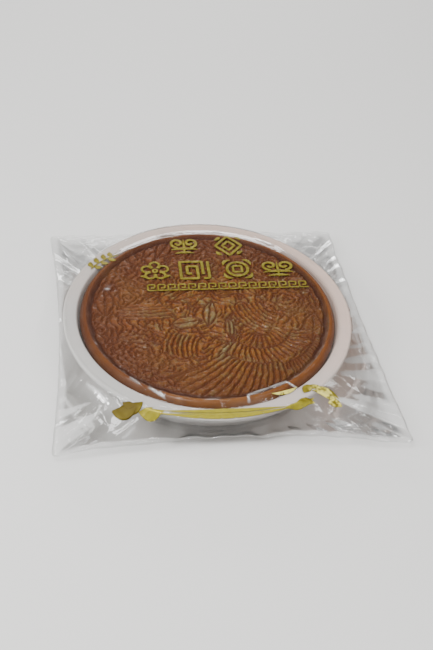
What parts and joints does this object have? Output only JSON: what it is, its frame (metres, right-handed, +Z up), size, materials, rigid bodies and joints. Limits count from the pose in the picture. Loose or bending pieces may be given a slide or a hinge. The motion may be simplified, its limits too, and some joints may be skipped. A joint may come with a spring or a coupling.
{
  "type": "packed mooncake",
  "caption": "Large round dark-brown mooncake with an embossed panel, in a round flanged white tray inside a clear film bag with gold print.",
  "frame": {"origin": "centre of the tray's flat underside, on the surface that it rests on", "axes": "+Z up through the middle of the cake, +X and +Y along the sides of the bag, -Y towards the edge nearest the viewer"},
  "size_m": [0.26, 0.249, 0.027],
  "materials": {
    "cake_crust": "baked dark-brown crust with a soft oily sheen, paler ridges and darker grooves",
    "tray_plastic": "thin thermoformed greyish-white plastic, slightly translucent",
    "bag_film": "thin clear glossy film with creases and a faint whitish haze",
    "gold_print": "olive-gold ink printed on the film"
  },
  "bodies": {
    "root": {"mooncake": "cake_crust", "tray": "tray_plastic", "film_bag": "bag_film"}
  },
  "joints": []
}
